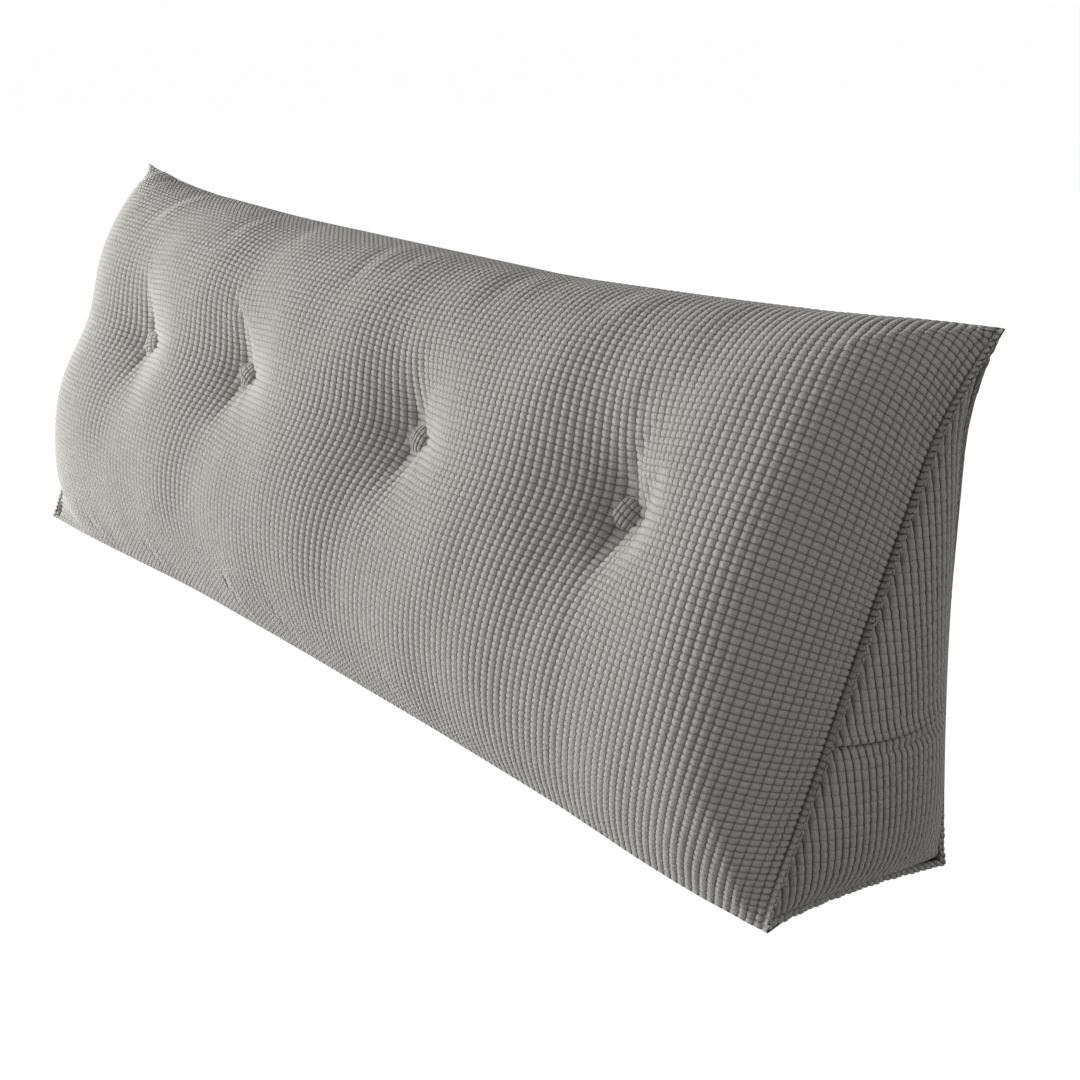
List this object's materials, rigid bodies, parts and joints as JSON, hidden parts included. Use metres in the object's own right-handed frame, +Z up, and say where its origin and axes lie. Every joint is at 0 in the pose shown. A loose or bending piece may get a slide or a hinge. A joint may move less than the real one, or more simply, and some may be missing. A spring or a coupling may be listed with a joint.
{
  "type": "wedge backrest pillow",
  "caption": "Long filled wedge pillow in ribbed corduroy that stands on its flat base, its sloping face tufted with covered buttons and its ends closed by panels.",
  "frame": {"origin": "middle of the bounding box's footprint, on the surface that the flat base stands on", "axes": "+X along the length towards the end with the folded cross seam, -Y towards the user from the sloping tufted face, +Z up"},
  "size_m": [1.5418, 0.2488, 0.4985],
  "materials": {
    "cover_corduroy": "matt plush corduroy with a grid of kernels, ribs running along the length",
    "end_corduroy": "the same plush corduroy with its ribs upright",
    "flange_corduroy": "the cover's corduroy turned under and topstitched",
    "button_corduroy": "the same plush corduroy drawn over a dome, ribs slanting"
  },
  "bodies": {
    "root": {"filled_cushion": "cover_corduroy", "left_end_panel": "end_corduroy", "right_end_lower_panel": "end_corduroy", "right_end_upper_panel": "end_corduroy", "left_seam_flange": "flange_corduroy", "right_seam_flange": "flange_corduroy", "button_1": "button_corduroy", "button_2": "button_corduroy", "button_3": "button_corduroy", "button_4": "button_corduroy"}
  },
  "joints": []
}
